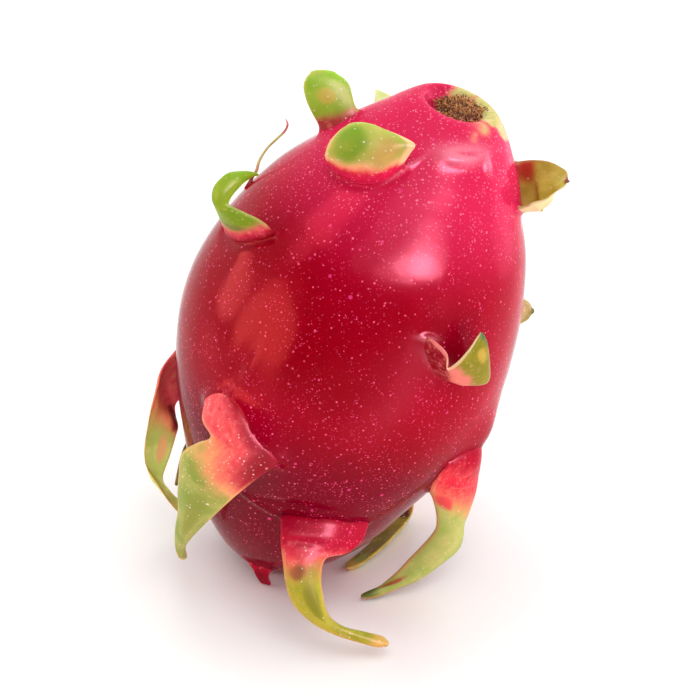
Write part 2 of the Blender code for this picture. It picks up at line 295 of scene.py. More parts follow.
fruit = {
    "steps": 24, "lean": 17.0, "centre": (12.5, 0.0, 59.9), "bend": (9.0, 1.5),
    "halfLength": 76.0, "scarShift": (-0.2, 3.2), "around": 288, "down": 330,
    "outline": [(0.0, 64.0), (4.0, 64.3), (6.2, 66.2), (8.2, 67.8), (11.4, 66.6), (16.2, 61.5),
                (24.2, 49.5), (32.4, 36.0), (38.0, 18.5), (39.5, 2.0), (36.4, -15.0),
                (30.3, -31.0), (23.8, -45.5), (15.4, -57.0), (8.5, -62.4), (0.0, -64.2)],
    # (around, height, rise, spread): where scales grow out
    "swellings": [(12.0, -29.0, 1.6, 8.0), (-27.0, -9.0, 2.6, 8.0), (66.0, -5.0, 2.4, 8.0),
                  (24.0, 25.0, 0.9, 6.0), (80.0, 54.0, 1.2, 6.0), (-104.0, 55.0, 1.6, 6.0),
                  (10.0, 46.0, 1.3, 9.0), (-66.0, 31.0, 1.0, 6.0)],
    # (around, height, rise, length, width, turn): folds, dents and creases in the skin
    "folds": [(11.0, 63.7, 1.5, 5.2, 1.4, 6.0),       # the scale that never opened
              (37.0, 62.5, 0.7, 1.8, 1.0, -60.0),     # its short end
              (14.0, 64.1, -0.9, 2.4, 0.55, 4.0),     # the slit in it
              (-26.5, 58.4, 0.6, 3.6, 0.5, 62.0),     # the lip beside the torn scale
              (-41.0, 6.0, -0.55, 1.6, 9.0, -8.0),    # a long dent at the left
              (-37.0, 6.0, 0.3, 1.4, 8.0, -8.0),      # and its rim
              (20.5, 21.0, -1.0, 7.0, 3.2, -42.0),    # the hollow under the folded scale
              (17.0, 28.6, 0.35, 2.2, 0.7, 0.0),      # the ridge over it
              (-3.0, -24.4, -0.8, 7.0, 1.1, 12.0),    # the groove over the front leg
              (-20.0, -29.6, 0.45, 9.0, 1.0, -12.0),  # a low ridge from one root to the next
              (118.0, 20.0, 0.6, 10.0, 5.0, 20.0), (-120.0, -30.0, 0.6, 9.0, 6.0, 30.0),
              (160.0, -8.0, 0.5, 12.0, 5.0, 0.0), (-168.0, 40.0, -0.4, 8.0, 3.0, 15.0)],
    # the same for how pale the skin is: painted highlights along ridges and lips and a paler patch
    # by the folded scale; below 0 it is painted shade in the slit
    "paintedGlintFolds": [(11.0, 63.8, 0.7, 5.2, 1.5, 6.0), (14.0, 64.1, -0.6, 2.4, 0.4, 4.0),
                  (37.0, 62.6, 0.4, 1.6, 0.9, -60.0), (-26.5, 58.4, 0.5, 3.6, 0.35, 62.0),
                  (17.0, 28.7, 0.5, 2.2, 0.5, 0.0), (24.0, 23.4, 0.3, 4.5, 1.6, -30.0)],
    "relief": {"Lump Height": 0.22, "Lump Size": 19.0, "Fine Height": 0.04, "Fine Size": 3.0,
               "Seed": 4.0},
}

def placeOnFruit(local):
    turn = np.array(Matrix.Rotation(math.radians(fruit["lean"]), 3, "Y"))
    return local @ turn.T + np.array(fruit["centre"])


def riseAt(around, height, radius, spots):
    rise = np.zeros_like(radius)
    for spotAround, spotHeight, lift, long, wide, turn in spots:
        across = np.radians((around - spotAround + 180.0) % 360.0 - 180.0) * radius
        up = height - spotHeight
        c, s = math.cos(math.radians(turn)), math.sin(math.radians(turn))
        rise += lift * np.exp(-((across * c + up * s) / long) ** 2
                              - ((up * c - across * s) / wide) ** 2)
    return rise


def skinPoints(around, height, radius):
    around, height, radius = np.broadcast_arrays(*(np.array(v, float)
                                                   for v in (around, height, radius)))
    angle = np.radians(around)
    knobs = [(a, h, rise, size, size, 0.0) for a, h, rise, size in fruit["swellings"]]
    full = radius + riseAt(around, height, radius, knobs) * ease(radius, 6.0, 12.0)
    drift = np.maximum(height, 0.0) ** 2 / fruit["halfLength"] ** 2
    scar = np.where(height > 0, 1.0 - ease(full, 7.0, 17.0), 0.0)
    shift, bend = fruit["scarShift"], fruit["bend"]
    local = np.stack([full * np.sin(angle) + bend[0] * drift + shift[0] * scar,
                      -full * np.cos(angle) + bend[1] * drift + shift[1] * scar, height], -1)
    return placeOnFruit(local)


def reliefTree():
    # gentle lumps along the skin, and the end that is pressed flat
    tree, start, end = geometryGroup("rindRelief", {
        "Lump Height": 0.3, "Lump Size": 17.0, "Fine Height": 0.05, "Fine Size": 3.0, "Seed": 4.0})
    place = addNode(tree, "GeometryNodeInputPosition").outputs[0]
    lifts = []
    for size in ("Lump", "Fine"):
        bump = addNode(tree, "ShaderNodeTexNoise",
                       {"Vector": place, "W": start["Seed"], "Detail": 1.0,
                        "Scale": calc("DIVIDE", 1.0, start[size + " Size"])},
                       noise_dimensions="4D").outputs["Fac"]
        lifts.append(times(scaled(bump, 2.0, -1.0), start[size + " Height"]))
    normal = addNode(tree, "GeometryNodeInputNormal").outputs[0]
    along = vectorCalc("SCALE", normal, plus(*lifts))
    moved = addNode(tree, "GeometryNodeSetPosition", {"Geometry": start["Geometry"],
                                                      "Offset": along}).outputs[0]
    here = addNode(tree, "GeometryNodeInputPosition").outputs[0]
    floorAt = vectorCalc("MAXIMUM", here, (-farOff, -farOff, 0.0))
    pressed = addNode(tree, "GeometryNodeSetPosition", {"Geometry": moved,
                                                        "Position": floorAt}).outputs[0]
    return endTree(tree, pressed, start, end)


def makeRindBase(material):
    turns = fruit["around"]
    fine = curveThrough(fruit["outline"], fruit["steps"])
    fine[:, 0] = np.maximum(fine[:, 0], 0.0)
    marks = travelled(fine)
    line = sampled(fine, marks, np.linspace(0, marks[-1], fruit["down"]))[1:-1]
    last = len(line) * turns
    ringAround = np.tile(np.arange(turns) * 360.0 / turns - 180.0, len(line))
    ringRadius, ringHeight = np.repeat(line[:, 0], turns), np.repeat(line[:, 1], turns)
    ends = [skinPoints(0.0, fine[i, 1], 0.0) for i in (0, -1)]
    points = np.vstack([skinPoints(ringAround, ringHeight, ringRadius), *ends])
    mesh = makeMesh("rind", points, ringFaces(len(line), turns))
    normals = vertexNormals(mesh)
    if ((points - points.mean(0)) * normals).sum() < 0:  # the normals must face outward
        mesh.flip_normals()
        normals = -normals
    folds, pale = np.zeros((2, len(points)))
    for values, key in ((folds, "folds"), (pale, "paintedGlintFolds")):
        values[:last] = riseAt(ringAround, ringHeight, ringRadius, fruit[key])
    writePoints(mesh, points + normals * folds[:, None])
    # pale holds the painted highlights on ridges and lips and the painted shade in the slit
    writeValues(mesh, "pale", pale)
    rind = makePiece("dragonFruitRind", mesh)
    addTree(rind, reliefTree(), {**fruit["relief"], "Finish": material})
    return rind


# the blades of the scales, in millimetres

blade = {
    "spacing": 0.6, "fewestRings": 12, "sides": 44, "steps": 16, "thin": 0.62, "mostThick": 0.42,
    "edge": 0.75, "wave": 0.25, "waveAlong": 0.11, "waveAcross": 1.1, "seedStep": 3.7,
    "tipRings": 5, "tipShare": 0.35, "tipMost": 0.8, "offFloor": 0.05, "endOffFloor": 0.03,
}


def facing(along, across, out):
    # the blade's outer side, kept on one side from ring to ring and then smoothed
    normal = unit(np.cross(along, across))
    side = np.array(out, float)
    for i in range(len(normal)):
        if normal[i] @ side < 0:
            normal[i] = -normal[i]
        side = normal[i]
    for _ in range(3):
        normal[1:-1] = unit(normal[:-2] + 2 * normal[1:-1] + normal[2:])
    return normal


def bladeShape(stations, out, scale, seed):
    # a closed blade through pairs of edge points, root first; returns points, faces and
    # for each point its share of the length, its place across, and which face it is on
    cup, thick, wave = scale["cup"], scale["thick"], scale.get("wave", blade["wave"])
    left, right = (curveThrough(stations[:, i], blade["steps"]) for i in (0, 1))
    marks = travelled((left + right) / 2)
    length = marks[-1]
    count = max(int(length / blade["spacing"]), blade["fewestRings"])
    wanted = np.linspace(0, length, count)
    left, right = sampled(left, marks, wanted), sampled(right, marks, wanted)
    middle, across = (left + right) / 2, right - left
    normal = facing(unit(np.gradient(middle, axis=0)), across, out)
    turn = np.arange(blade["sides"]) * math.tau / blade["sides"]
    reach, lift = np.cos(turn), np.sin(turn)
    lift = np.sign(lift) * np.abs(lift) ** blade["edge"]
    rings, info = [], []
    for i in range(count):
        share = i / (count - 1)
        width = np.linalg.norm(across[i])
        half = 0.5 * blade["thin"] * (thick[0] + (thick[1] - thick[0]) * share ** 0.5)
        half = min(half, blade["mostThick"] * width)
        lean = (cup[0] + (cup[1] - cup[0]) * share) * (1 - reach ** 2)
        for k, x in enumerate(reach):
            stir = noise.noise(Vector((share * length * blade["waveAlong"] + seed,
                                       x * blade["waveAcross"], seed)))
            lean[k] += wave * stir * 2 * (0.35 + 0.65 * x * x) * min(share * 4, 1)
        for bumpShare, bumpAcross, bumpLift, bumpLong, bumpWide in scale.get("bumps", ()):
            away = (((share - bumpShare) * length / bumpLong) ** 2
                    + ((reach - bumpAcross) * width / 2 / bumpWide) ** 2)
            lean = lean + bumpLift * np.exp(-away)
        rings.append(middle[i] + across[i] * (0.5 * reach)[:, None]
                     + normal[i] * (lean + half * lift)[:, None])
        info.append(np.stack([np.full_like(reach, share), reach, lift], 1))
    ahead = unit(middle[-1] - middle[-3])
    cap = min(blade["tipShare"] * np.linalg.norm(across[-1]), blade["tipMost"])
    lastRing = rings[-1] - middle[-1]
    for k in range(1, blade["tipRings"]):
        bow = k / blade["tipRings"] * math.pi / 2
        rings.append(middle[-1] + lastRing * math.cos(bow) + ahead * cap * math.sin(bow))
        info.append(info[count - 1])
    points = np.vstack(rings + [middle[0][None], (middle[-1] + ahead * cap)[None]])
    info = np.vstack(info + [[[0, 0, 0]], [[1, 0, 0]]])
    faces = ringFaces(len(rings), blade["sides"], flip=True)
    points[:, 2] = np.maximum(points[:, 2], blade["offFloor"])
    fans = [(face[0], face[i], face[i + 1]) for face in faces for i in range(1, len(face) - 1)]
    a, b, c = (points[[fan[i] for fan in fans]] for i in range(3))
    if np.sum(a * np.cross(b, c)) < 0:  # the normals must face outward
        faces = [face[::-1] for face in faces]
    return points, faces, info


def skinRadius(height):
    line = curveThrough(fruit["outline"][4:], 12)[::-1]
    return float(np.interp(height, line[:, 1], line[:, 0]))


def pathStations(path, widths):
    # edge points for a scale whose path is given off the skin
    pairs = []
    for (around, height, off), width in zip(path, widths):
        radius = skinRadius(height)
        here = skinPoints(around, height, radius)
        beside = skinPoints(around + 4.0, height, radius) - skinPoints(around - 4.0, height, radius)
        above = skinPoints(around, height + 2.0, skinRadius(height + 2.0)) - here
        beside = beside / np.linalg.norm(beside)
        outward = np.cross(beside, above)
        spot = here + outward / np.linalg.norm(outward) * off
        pairs.append((spot - beside * width / 2, spot + beside * width / 2))
    return pairs


# where a scale grows out of the skin

root = {"softLimit": 0.27, "tries": 9, "closeEnough": 0.004, "overlap": 0.3, "margin": 2.0,
        "grooveReach": 3.5, "grooveAt": 0.3, "grooveWidth": 1.1}


def signedGap(point, hit, normal, away):
    return -away if (point - hit).dot(normal) < 0 else away


def gapTo(tree, point, deepest=farOff):
    # distance to a closed surface, negative inside it; deepest is the most it can be inside
    hit, normal, _, away = tree.find_nearest(point)
    return signedGap(point, hit, normal, away) if away < deepest else away


def melt(a, b, size):
    share = max(0.0, 1.0 - abs(a - b) / size)
    return min(a, b) - 0.25 * size * share * share


def grow(point, normal, otherTree, size, deepest=farOff):
    # how far a point moves out so that both surfaces run into each other in a soft fillet
    lift, limit = 0.0, root["softLimit"] * size
    for _ in range(root["tries"]):
        other = gapTo(otherTree, point + normal * lift, deepest)
        gap = melt(lift, other, size)
        lift = min(lift - gap, limit)
        if lift >= limit or abs(gap) < root["closeEnough"]:
            break
    return lift - min(root["overlap"], 0.5 * (lift - other)) if other < lift else lift


def joinToRind(rindPoints, rindNormals, rindTree, blades):
    # lifts the rind round each root, and flares each root on to the rind
    lifts, dents = np.zeros((2, len(rindPoints)))
    for piece in blades:
        points, size, groove = piece["points"], piece["meet"], piece["groove"]
        tree = BVHTree.FromPolygons([Vector(p) for p in points], piece["faces"])
        reach = size + root["margin"]
        low, high = points.min(0) - reach, points.max(0) + reach
        near = np.all((rindPoints > low) & (rindPoints < high), 1)
        for v in np.nonzero(near)[0]:
            here, out = Vector(rindPoints[v]), Vector(rindNormals[v])
            away = gapTo(tree, here, piece["deepest"])
            if away < size:
                lifts[v] = max(lifts[v], grow(here, out, tree, size, piece["deepest"]))
            if groove and 0 < away < root["grooveReach"]:
                if piece["outer"][tree.find_nearest(here)[2]]:
                    side = (away - root["grooveAt"]) / root["grooveWidth"]
                    dents[v] = max(dents[v], groove * math.exp(-side ** 2))
        for v, out in enumerate(piece["normals"]):
            here = Vector(points[v])
            hit, normal, _, away = rindTree.find_nearest(here, size * 1.5)
            if hit is not None and -0.8 * size < signedGap(here, hit, normal, away) < size:
                out = Vector(out)
                points[v] += np.array(out) * max(grow(here, out, rindTree, size), 0.0)
    return rindPoints + rindNormals * (lifts - dents)[:, None]


# the scales: edge points root first, in millimetres, and how each is finished

noSpot = (0.5, 0.0, 0.1, 0.4, (150, 160, 60))


def paint(skinEnd, coral, coralEnd, band, bandEnd, leaf, deep, tipStart, tip, rim,
          rimWidth=0.06, slant=0.0, torn=0.0, specks=0.8, streaks=0.3, ragged=0.6, spots=()):
    # a spot is (share of the length, place across, long, wide, colour)
    values = {"Skin End": skinEnd, "Coral": tone(*coral), "Coral End": coralEnd,
              "Band": tone(*band), "Band End": bandEnd, "Leaf": tone(*leaf), "Deep": tone(*deep),
              "Tip Start": tipStart, "Tip": tone(*tip), "Rim": tone(*rim), "Rim Width": rimWidth,
              "Slant": slant, "Torn": torn, "Specks": specks, "Streaks": streaks, "Ragged": ragged}
    for index, label in enumerate(("First", "Second")):
        given = index < len(spots)
        share, across, long, wide, colour = spots[index] if given else noSpot
        values.update({label + " Share": share, label + " Across": across, label + " Long": long,
                       label + " Wide": wide, label + " Spot": tone(*colour),
                       label + " Strength": 1.0 if given else 0.0})
    return values


# a station is both edge points of a blade, from its root to its tip; out is its outer side;
# cup and thick are for the root and the tip; meet is how wide the root runs into the rind;
# a bump is (share of the length, place across, lift, long, wide)
scales = {
    "scale_front_broad": dict(
        stations=[(-14, -22, 60.5, -6, -28, 61), (-17.2, -26, 61, -5.5, -33, 60.6),
            (-18.7, -29.2, 59, -3.6, -36, 57.4), (-16.8, -31.8, 56, -2.4, -38, 54),
            (-20, -32, 54.4, -4.6, -39, 51.4), (-23.8, -30, 50, -8.7, -37.5, 46),
            (-25.2, -27.5, 40, -12.3, -35, 40.7), (-26, -24, 29, -17, -30.5, 32.4),
            (-27.2, -19, 18.2, -21.4, -25, 23.6), (-27.5, -14.5, 9.9, -24.7, -18, 14.4),
            (-27, -12.5, 6.5, -25, -13, 7.2)],
        out=(-0.5, -0.8, 0.2), cup=(4.2, 0.3), thick=(3.4, 1.8), meet=5.5,
        bumps=((0.10, -0.6, 1.0, 3.0, 3.0), (0.22, -0.5, -1.6, 1.6, 4.0),
            (0.27, 0.75, -0.7, 8.0, 1.0), (0.95, 0.0, 0.5, 1.6, 2.0)),
        paint=paint(0.07, (224, 78, 86), 0.26, (226, 160, 104), 0.33, (162, 174, 86),
            (132, 158, 64), 0.965, (196, 176, 86), (222, 184, 110), rimWidth=0.05, slant=-0.10,
            # the first spot is the corner where the blade runs into the skin: skin red, painted
            # darker as painted shade where the rind faces down
            specks=1.0, streaks=0.15, spots=((0.16, 1.0, 0.2, 0.72, (128, 0, 24)),
            (0.56, 0.0, 0.18, 0.5, (134, 152, 60))))),
    "scale_front_leg": dict(
        stations=[(-1, -26, 31.4, 17.8, -25, 29.5), (-1.2, -31, 32, 18.9, -29, 28.4),
            (-1.2, -34.5, 30.8, 17.8, -31.5, 26.2), (-1.1, -36.5, 28.2, 14.4, -34, 24.2),
            (-0.7, -38, 24.4, 9.3, -37, 24.8), (-0.2, -40, 20.3, 8.2, -38.8, 20.6),
            (1.1, -41.5, 15.9, 8.6, -40.3, 17), (3.5, -42.5, 12.8, 9.3, -41.3, 13.6),
            (7, -43, 9.6, 10.7, -41.5, 10.6), (11.6, -43.5, 7.2, 13.8, -41.3, 7.9),
            (17.1, -43.6, 5, 18.2, -41.3, 6.6), (21.1, -43.4, 3.5, 22.5, -41.4, 5.3),
            (23.4, -43, 3.3, 23.7, -42, 4.5)],
        out=(0.1, -0.9, 0.3), cup=(2.4, 0.5), thick=(3.4, 2.2), meet=2.2, groove=0.6,
        bumps=((0.13, 0.1, 1.1, 4.0, 3.4), (0.21, -0.5, -0.5, 1.0, 5.0),
            (0.55, 0.55, 0.5, 8.0, 1.0)),
        paint=paint(0.24, (214, 62, 78), 0.33, (182, 130, 74), 0.38, (174, 174, 54), (148, 154, 36),
            0.93, (206, 172, 84), (206, 158, 92), rimWidth=0.10, specks=1.0, streaks=0.1,
            spots=((0.53, 0.25, 0.12, 0.5, (122, 128, 18)),
            (0.365, -0.3, 0.04, 0.5, (140, 84, 54))))),
    "scale_right_leg": dict(
        stations=[(34, -20, 43.5, 43, -9, 40), (37.3, -25, 44.6, 44.7, -14, 40),
            (36.9, -25.5, 42, 45.8, -14, 35.6), (34.7, -24.3, 38, 45.6, -13.5, 31.7),
            (34.6, -22, 32, 44.8, -13, 26), (35.5, -20.5, 26.8, 43.8, -12.8, 21),
            (35.8, -19.5, 22.2, 42.6, -13, 17.3), (35.2, -18.8, 18.9, 42.2, -14, 13.5),
            (32.8, -18.5, 14.8, 40.8, -15, 10.3), (29.3, -18.5, 10.5, 36.2, -16.8, 6.5),
            (26, -18.8, 6.5, 31.3, -18.5, 4), (22, -19.5, 2.9, 26, -20.5, 2.6),
            (19.2, -20.3, 1.8, 21.2, -21.8, 1.2), (17.8, -21, 1.2, 18.6, -22, 1.0)],
        out=(0.7, -0.6, 0.2), cup=(2.4, 0.8), thick=(3.6, 2.6), meet=2.6, groove=0.3,
        bumps=((0.10, 0.2, 0.9, 2.4, 5.0), (0.18, -0.3, -0.9, 1.2, 4.0),
            (0.22, -0.3, 0.6, 0.8, 4.0), (0.255, -0.2, -0.5, 0.7, 4.0), (0.29, -0.1, 0.4, 0.7, 4.0),
            (0.36, -0.6, 0.6, 2.0, 1.6)),
        paint=paint(0.17, (210, 40, 58), 0.29, (228, 112, 88), 0.38, (178, 190, 106),
            (150, 178, 84), 0.945, (78, 98, 36), (196, 136, 92), rimWidth=0.05, streaks=0.35,
            specks=0.5, slant=-0.04, spots=((0.345, -0.7, 0.05, 0.4, (212, 60, 70)),
            (0.86, -0.45, 0.08, 0.3, (170, 84, 56))))),
    "scale_right_folded": dict(
        stations=[(30.8, -32, 83, 33, -30.5, 74.8), (33.6, -36.2, 85, 35.4, -33.3, 73.8),
            (36.4, -38.6, 83, 37.8, -34.6, 73), (36.4, -38.8, 79.3, 41, -34, 71.7),
            (38.6, -38.2, 80.3, 46, -29.8, 69.6), (40.9, -36.5, 82.4, 46.5, -30.5, 75),
            (42.9, -34.5, 84.6, 45.7, -32, 81.4), (43.8, -33.5, 85.2, 44.5, -33, 84.7)],
        out=(0.1, -0.9, 0.1), cup=(1.0, 0.3), thick=(2.0, 1.3), meet=1.8,
        paint=paint(0.06, (138, 2, 30), 0.36, (214, 118, 104), 0.54, (138, 134, 36), (124, 124, 22),
            0.93, (70, 116, 60), (226, 206, 156), rimWidth=0.07, slant=0.05, specks=0.3, ragged=1.0,
            spots=((0.80, 0.0, 0.08, 0.5, (184, 160, 60)),
            (0.24, -1.0, 0.3, 0.13, (226, 130, 120))))),
    "scale_right_cup": dict(
        stations=[(49, 5, 106, 50, -5, 101), (53.2, 5, 107.4, 54.5, -8, 103),
            (56.7, 4.5, 108.2, 56, -9.5, 105), (60.5, 3, 108.6, 59.2, -8.5, 105.6),
            (63, 1.5, 108, 61.5, -7, 106.7), (64.5, 0, 107.4, 64, -4, 105.9),
            (65, -1, 106.2, 64.8, -2, 105.7)],
        out=(0.0, -0.3, -1.0), cup=(8.0, 0.8), thick=(2.2, 1.2), meet=2.0,
        bumps=((0.52, 0.5, 3.0, 6.5, 2.2),),
        paint=paint(0.05, (196, 60, 66), 0.10, (190, 156, 90), 0.18, (190, 174, 78), (164, 150, 50),
            0.97, (110, 36, 34), (166, 130, 70), rimWidth=0.04, specks=0.5, streaks=0.2,
            spots=((0.32, -1.0, 0.2, 0.6, (176, 8, 34)), (0.5, 1.0, 0.6, 0.55, (226, 226, 166))))),
    "scale_right_small": dict(
        stations=[(52, 7, 70, 52, 3, 63), (55.5, 6, 70, 55.5, 3, 64.5),
            (57.6, 5.5, 69, 57.3, 3.5, 65.3), (58.4, 5, 67.7, 58.2, 4, 66.5)],
        out=(0.9, -0.3, -0.3), cup=(0.8, 0.2), thick=(2.0, 1.2), meet=2.0,
        paint=paint(0.30, (180, 70, 70), 0.45, (190, 160, 90), 0.55, (158, 160, 62), (112, 128, 50),
            0.97, (92, 100, 40), (190, 180, 100))),
    "scale_top_torn": dict(
        stations=[(11.3, -8, 113, 27, -11.5, 115), (9.6, -12, 117.4, 27, -17, 119.2),
            (9.6, -12.8, 119.9, 28.3, -18, 122.3), (10.5, -12.8, 122.4, 29.2, -17.5, 124.2),
            (12.5, -12, 124.5, 25.9, -14.8, 124.8), (14.2, -11.3, 125.4, 22.6, -12.8, 125.1)],
        out=(-0.3, -0.8, 0.4), cup=(4.6, 1.2), thick=(2.6, 1.6), meet=1.4, groove=0.7, wave=0.35,
        bumps=((0.55, 0.8, -0.8, 2.5, 2.0), (0.75, -0.4, 0.9, 3.0, 3.0),
            (0.8, 0.35, -0.5, 3.0, 2.0)),
        paint=paint(0.42, (216, 40, 62), 0.47, (236, 176, 124), 0.53, (180, 176, 84),
            (166, 172, 74), 0.99, (180, 200, 100), (236, 196, 140), rimWidth=0.05, torn=1.0,
            streaks=0.1, specks=1.0, ragged=0.35, spots=((0.74, -0.45, 0.24, 0.5, (106, 150, 30)),
            (0.64, 0.45, 0.2, 0.35, (188, 160, 82))))),
    "scale_top_paddle": dict(
        stations=[(8.5, 7, 114, 17.2, 7, 115), (7.4, 5.2, 117.4, 17.4, 5.2, 118.8),
            (6.3, 5, 119.8, 16.3, 5, 121.3), (5, 5.5, 123, 15.5, 5.5, 124),
            (4.4, 6.3, 125.7, 14.9, 6.3, 126.2), (4.8, 7, 127.6, 13.8, 7, 127.6),
            (6.0, 7.8, 128.7, 11.9, 7.8, 128.6)],
        out=(-0.3, -0.9, 0.3), cup=(1.0, 0.6), thick=(3.0, 1.8), meet=2.4,
        paint=paint(0.20, (166, 70, 66), 0.38, (176, 146, 74), 0.42, (156, 198, 60), (142, 188, 50),
            0.99, (172, 188, 78), (184, 196, 98), rimWidth=0.05, specks=1.0, slant=-0.05,
            streaks=0.0, ragged=0.4, spots=((0.68, -0.1, 0.14, 0.5, (198, 184, 78)),))),
    "scale_left_curl": dict(
        stations=[(-13.2, -2, 93, -3, -14, 97.7), (-14.6, -5, 97.2, -2.1, -17.5, 101.6),
            (-15.4, -9, 102.4, -4.7, -18.3, 104.9), (-15.8, -12, 106.4, -8.2, -18.8, 107.2),
            (-15.8, -14.5, 110.2, -11.9, -18, 108.8), (-15.3, -15.5, 112.5, -11.8, -17.5, 110),
            (-14.4, -15.5, 113.8, -10.9, -16.5, 111), (-12.4, -14.5, 115.2, -8.9, -15, 112.7),
            (-10.2, -12.8, 114.8, -7.8, -12.8, 112.5), (-8.1, -11, 113.9, -6.8, -11, 112.3),
            (-6.3, -9.7, 112.8, -5.9, -9.7, 111.8)],
        out=(-0.7, -0.6, 0.0), cup=(3.0, 0.3), thick=(2.2, 1.3), meet=1.4, groove=0.7,
        paint=paint(0.17, (206, 40, 76), 0.24, (204, 130, 100), 0.28, (134, 168, 36),
            (116, 156, 28), 0.98, (148, 170, 70), (164, 178, 90), rimWidth=0.06, slant=-0.06,
            streaks=0.1, specks=0.6, spots=((0.31, -0.3, 0.05, 0.8, (112, 124, 58)),))),
    "scale_left_whisker": dict(
        stations=[(-9.7, 8, 98.8, -9, 8, 98.3), (-8.1, 8.5, 101.4, -7.5, 8.5, 101),
            (-7.1, 9, 103, -6.4, 8.8, 102.8), (-6.4, 9.5, 105.3, -5.8, 9.2, 105.1),
            (-4.5, 10, 108.3, -4, 10, 108), (-2.4, 10.5, 110.4, -1.9, 10.5, 110),
            (-0.4, 11.5, 112, 0.1, 11.5, 111.7), (0.3, 12, 113.4, 0.8, 12, 113.3),
            (0, 12.4, 114.4, 0.3, 12.4, 114.4)],
        out=(-0.9, 0.1, 0.2), cup=(0.1, 0.0), thick=(1.2, 0.8), meet=0.5, wave=0.0,
        paint=paint(0.08, (150, 70, 60), 0.24, (206, 160, 130), 0.34, (196, 204, 120),
            (206, 206, 140), 0.80, (206, 110, 110), (190, 180, 120), specks=0.0)),
    "scale_left_twisted": dict(
        stations=[(-24.5, 5, 55.7, -24, 8, 41), (-26.8, 2.8, 56.4, -26.6, 6, 41),
            (-28.9, 1.5, 54.8, -27.8, 6, 39), (-30.5, 1, 52, -28, 6.5, 37),
            (-31.3, 0.5, 48.3, -27.9, 6, 35.4), (-32, 0, 44, -27.7, 5, 33.8),
            (-33.8, 0, 38.7, -27.8, 4, 31.5), (-35, 0, 33.4, -29, 3.5, 27.4),
            (-35.5, 0.5, 27.7, -30.4, 3.5, 22.8), (-35, 1, 23.7, -31.5, 3.5, 18.3),
            (-32.8, 1.5, 18.5, -29.9, 4, 14.5), (-29.9, 2.5, 11.9, -27.4, 5, 10.6),
            (-26.7, 3.5, 6.5, -24.8, 5.3, 6), (-24, 4, 3, -22.8, 4.8, 3)],
        out=(-0.9, -0.3, 0.2), cup=(2.2, 0.4), thick=(2.6, 1.4), meet=2.2,
        bumps=((0.27, 0.5, -1.8, 2.6, 2.6), (0.28, -0.9, 0.8, 3.0, 1.2)),
        paint=paint(0.04, (232, 96, 100), 0.24, (236, 150, 100), 0.34, (210, 242, 130),
            (190, 230, 110), 0.97, (150, 150, 70), (216, 130, 84), rimWidth=0.06, slant=-0.02,
            specks=0.2, spots=((0.25, 0.75, 0.09, 0.45, (130, 16, 34)),
            (0.46, 0.4, 0.10, 0.4, (236, 190, 124))))),
    "scale_left_stick": dict(
        stations=[(-20, 9, 30, -18, 13, 27), (-23.7, 9, 27.5, -22, 12.5, 23),
            (-26, 9.5, 24.3, -24.6, 12.5, 20.6), (-27.8, 10, 18.5, -26.6, 12.5, 16.4),
            (-29.2, 11, 11.6, -28.2, 12.4, 10.8)],
        out=(-0.9, 0.2, -0.2), cup=(0.5, 0.2), thick=(2.0, 1.2), meet=2.0,
        paint=paint(0.20, (160, 40, 60), 0.30, (150, 96, 60), 0.38, (140, 136, 66), (104, 96, 44),
            0.97, (96, 84, 44), (140, 110, 66))),
    "scale_back_right_floor": dict(
        stations=[(25, 10, 28, 31, 5, 30), (28, 15, 25, 34, 9, 26), (26, 17.5, 18, 31, 12.5, 18),
            (26, 17.5, 9, 30.5, 13.5, 9), (26.6, 13.5, 3, 30.8, 10.5, 3.2),
            (22.4, 5, 0.9, 26.6, 2, 2.4), (18, -2.8, 1.0, 21.3, -5.6, 2.4),
            (14.6, -8, 1.3, 17, -9.8, 1.8), (14, -9.3, 1.4, 15, -10.3, 1.4)],
        out=(0.8, 0.3, -0.3), cup=(1.2, 0.3), thick=(3.2, 2.4), meet=4.0,
        paint=paint(0.14, (210, 66, 70), 0.44, (240, 160, 120), 0.52, (170, 156, 62),
            (134, 122, 40), 0.955, (190, 170, 80), (196, 180, 96), rimWidth=0.08,
            spots=((0.56, 0.0, 0.035, 1.2, (96, 40, 24)), (0.93, 0.3, 0.05, 0.6, (150, 170, 90))))),
    "scale_bottom_nub": dict(
        stations=[(-11, -9, 6, -3, -11, 6.8), (-10, -13.5, 6.8, -3.9, -15, 6.4),
            (-8.8, -15, 4.9, -4.9, -16, 4.6), (-8, -15, 2.6, -5, -16, 2.6),
            (-7.2, -14.8, 0.8, -4.5, -15.8, 1.0)],
        out=(-0.3, -0.9, -0.2), cup=(0.8, 0.4), thick=(3.0, 2.4), meet=2.4, slot="scale_red",
        paint=paint(0.40, (170, 6, 46), 0.60, (150, 6, 38), 0.70, (140, 8, 36), (110, 4, 26), 0.99,
            (150, 16, 40), (190, 40, 66), specks=0.3)),
    "scale_top_back": dict(
        stations=[(12, 20, 98, 26, 23, 100), (12.5, 26, 101.6, 27, 28.5, 103.6),
            (16, 29, 106.2, 27, 30.5, 107), (20.2, 31, 108.4, 26.5, 32, 108.9),
            (20.9, 32.6, 110, 24.6, 33, 110), (21, 34, 110.8, 22, 34, 110.8)],
        out=(-0.1, 0.9, 0.4), cup=(2.0, 0.3), thick=(3.0, 1.2), meet=4.5,
        paint=paint(0.10, (226, 70, 92), 0.2, (236, 200, 160), 0.28, (216, 234, 160),
            (202, 224, 140), 0.98, (216, 232, 166), (238, 170, 170), rimWidth=0.08, streaks=0.0,
            specks=1.0)),
}

